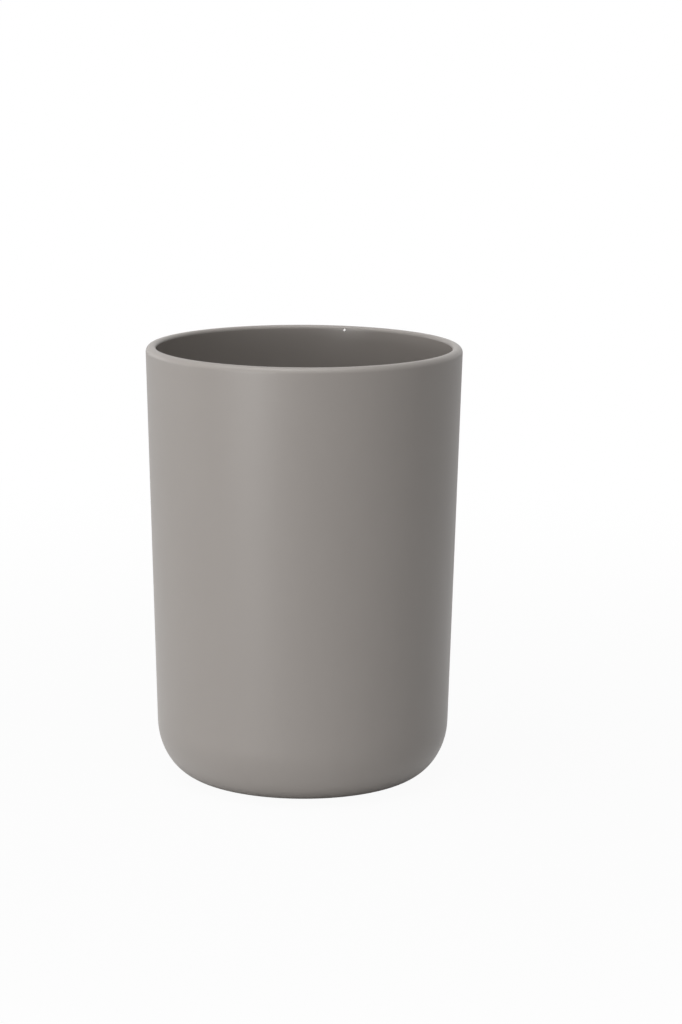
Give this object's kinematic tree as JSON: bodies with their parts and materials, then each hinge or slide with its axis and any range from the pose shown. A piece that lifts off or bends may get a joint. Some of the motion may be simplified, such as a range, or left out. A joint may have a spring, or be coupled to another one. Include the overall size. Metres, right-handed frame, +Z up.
{
  "type": "toothbrush holder",
  "caption": "Round toothbrush tumbler: slightly tapered thin-walled cup, soft rounded base edge, rounded rim, open top, shallow recessed underside.",
  "frame": {"origin": "centre of the circle of the base plane, where the standing ring meets the table", "axes": "+Z up along the tumbler's axis of revolution, from the base to the open mouth; X and Y are alike"},
  "size_m": [0.0734, 0.0734, 0.102],
  "materials": {
    "satin_plastic": "satin-matte moulded plastic in warm grey, a little glossier inside"
  },
  "bodies": {
    "root": {"tumbler": "satin_plastic"}
  },
  "joints": []
}
